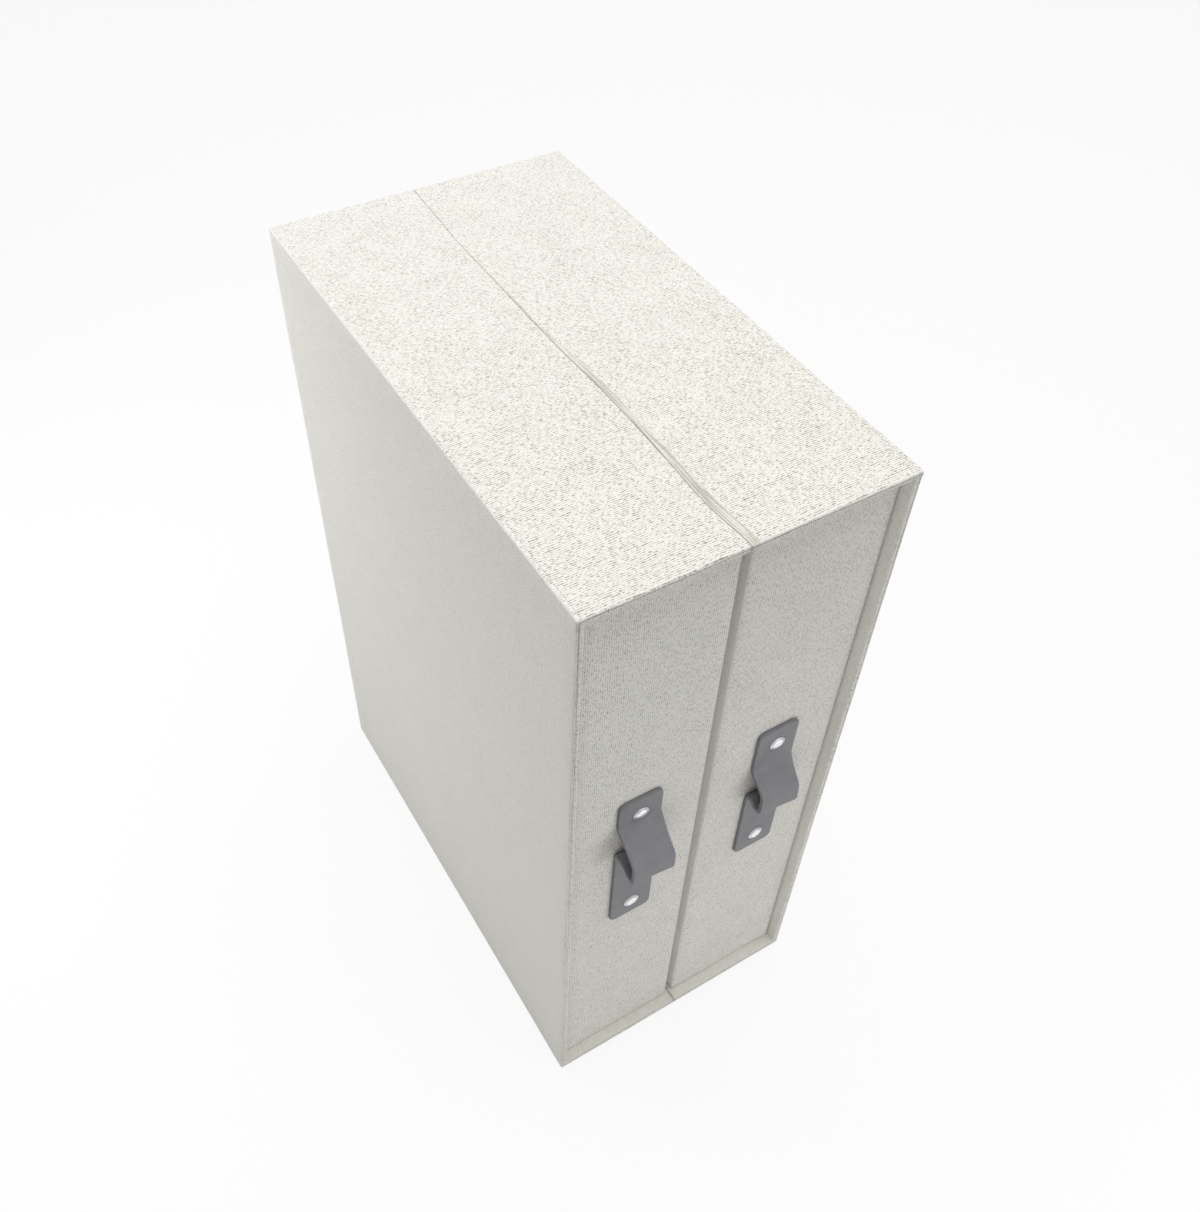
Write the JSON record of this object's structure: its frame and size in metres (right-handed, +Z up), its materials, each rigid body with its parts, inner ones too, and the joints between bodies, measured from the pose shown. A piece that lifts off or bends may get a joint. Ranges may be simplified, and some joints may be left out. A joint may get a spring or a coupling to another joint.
{
  "type": "drawer storage box",
  "caption": "Upright cloth-covered board box, open at the front, with tall side-by-side drawers that slide out on riveted strap pulls.",
  "frame": {"origin": "middle of the casing's footprint, on the surface that it stands on", "axes": "+Z up along the box's height, +X to the right across both drawers, -Y out of the open front"},
  "size_m": [0.131, 0.2443, 0.33],
  "materials": {
    "canvas_cloth": "plain weave, matt",
    "greyboard": "raw grey board",
    "lining_paper": "smooth, matt",
    "cover_paper": "fine linen emboss, matt",
    "strap_leather": "smooth grained, matt",
    "rivet_metal": "nickel plated"
  },
  "bodies": {
    "casing": {"casing_left_board": "greyboard", "casing_right_board": "greyboard", "casing_top_board": "greyboard", "casing_bottom_board": "greyboard", "casing_back_board": "greyboard", "divider_board": "greyboard", "casing_cloth_left": "canvas_cloth", "casing_cloth_right": "canvas_cloth", "casing_back_panel": "canvas_cloth", "casing_base_panel": "canvas_cloth", "divider_edge_strip": "canvas_cloth", "left_bay_lining": "lining_paper", "right_bay_lining": "lining_paper"},
    "left_drawer": {"left_drawer_front_board": "greyboard", "left_drawer_back_board": "greyboard", "left_drawer_left_board": "greyboard", "left_drawer_right_board": "greyboard", "left_drawer_bottom_board": "greyboard", "left_drawer_front_cloth": "canvas_cloth", "left_drawer_outer_paper": "cover_paper", "left_drawer_wall_lining": "lining_paper", "left_drawer_base_sheet": "lining_paper", "left_pull_strap": "strap_leather", "left_pull_rivets": "rivet_metal", "left_pull_washers": "rivet_metal"},
    "right_drawer": {"right_drawer_front_board": "greyboard", "right_drawer_back_board": "greyboard", "right_drawer_left_board": "greyboard", "right_drawer_right_board": "greyboard", "right_drawer_bottom_board": "greyboard", "right_drawer_front_cloth": "canvas_cloth", "right_drawer_outer_paper": "cover_paper", "right_drawer_wall_lining": "lining_paper", "right_drawer_base_sheet": "lining_paper", "right_pull_strap": "strap_leather", "right_pull_rivets": "rivet_metal", "right_pull_washers": "rivet_metal"}
  },
  "joints": [
    {"name": "left_drawer_slide", "type": "slide", "parent": "casing", "child": "left_drawer", "axis": [0, -1, 0], "range_m": [0, 0.195]},
    {"name": "right_drawer_slide", "type": "slide", "parent": "casing", "child": "right_drawer", "axis": [0, -1, 0], "range_m": [0, 0.195]}
  ]
}
